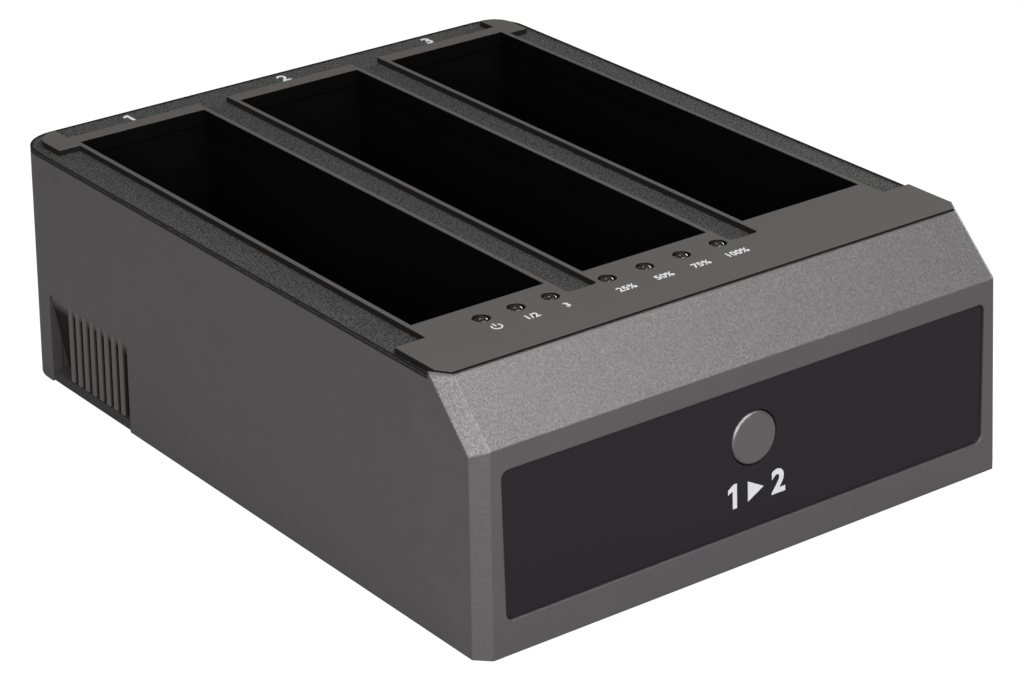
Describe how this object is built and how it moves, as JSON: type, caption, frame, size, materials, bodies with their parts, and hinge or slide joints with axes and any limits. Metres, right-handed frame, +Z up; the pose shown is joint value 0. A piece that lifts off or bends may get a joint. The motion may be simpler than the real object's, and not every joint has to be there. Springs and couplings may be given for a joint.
{
  "type": "drive duplicator",
  "caption": "desktop drive duplicator: a low moulded case with upright drive bays in its top, a front push button, indicator lights and side vents",
  "frame": {"origin": "on the table, under the middle of the case's lower edge", "axes": "+Z up, front towards -Y, +X to the right as seen from the front"},
  "size_m": [0.1164, 0.1525, 0.0487],
  "materials": {
    "base_black": "matt charcoal plastic",
    "board_green": "solder mask",
    "button_metal": "satin metallic",
    "can_aluminium": "drawn can",
    "case_paint": "fine metallic grey paint on a moulded shell",
    "chip_black": "moulded package",
    "connector_black": "glass-filled plastic",
    "contact_gold": "gold plated",
    "cover_satin": "satin charcoal plastic",
    "foot_rubber": "soft rubber",
    "lens_clear": "clear dome, unlit",
    "liner_black": "matt black plastic",
    "panel_black": "satin black plastic",
    "port_steel": "plated sheet",
    "ribbon_grey": "flat cable insulation",
    "screw_steel": "zinc plated",
    "socket_white": "natural plastic",
    "vent_black": "matt black plastic"
  },
  "bodies": {
    "case": {"base_cover": "base_black", "bay_liner_ide": "liner_black", "bay_liner_sata_1": "liner_black", "bay_liner_sata_2": "liner_black", "button_board": "board_green", "capacitors": "can_aluminium", "case_screws": "screw_steel", "clock_crystal": "port_steel", "dc_jack": "connector_black", "dc_pin": "port_steel", "foot_front_left": "foot_rubber", "foot_front_right": "foot_rubber", "foot_rear_left": "foot_rubber", "foot_rear_right": "foot_rubber", "front_panel": "panel_black", "ide_bridge_chip": "chip_black", "ide_connector": "connector_black", "ide_power_socket": "socket_white", "inductors": "chip_black", "led_board": "board_green", "led_header": "socket_white", "led_leads": "contact_gold", "led_scale_1": "lens_clear", "led_scale_2": "lens_clear", "led_scale_3": "lens_clear", "led_scale_4": "lens_clear", "led_state_1": "lens_clear", "led_state_2": "lens_clear", "led_state_3": "lens_clear", "main_board": "board_green", "main_header": "socket_white", "outer_shell": "case_paint", "panel_ribbon": "ribbon_grey", "push_switch": "liner_black", "sata_connector_1": "connector_black", "sata_connector_2": "connector_black", "sata_contacts_1": "contact_gold", "sata_contacts_2": "contact_gold", "switch_bezel": "connector_black", "switch_terminals": "port_steel", "top_cover": "cover_satin", "usb_bridge_chip": "chip_black", "usb_port": "port_steel", "usb_tongue": "connector_black", "vent_left": "vent_black", "vent_right": "vent_black"},
    "clone_button": {"clone_button": "button_metal", "switch_plunger": "liner_black"},
    "power_rocker": {"switch_rocker": "connector_black"}
  },
  "joints": [
    {"name": "clone_button_press", "type": "slide", "parent": "case", "child": "clone_button", "axis": [0, 0.9997, -0.0262], "range_m": [0, 0.0009], "stiffness_N_per_m": 900, "springref_m": -0.0012},
    {"name": "power_rocker_tilt", "type": "hinge", "parent": "case", "child": "power_rocker", "pos_m": [0.0285, 0.07508, 0.0092], "axis": [0, -0.0262, 0.9997], "range_deg": [-14, 0]}
  ]
}
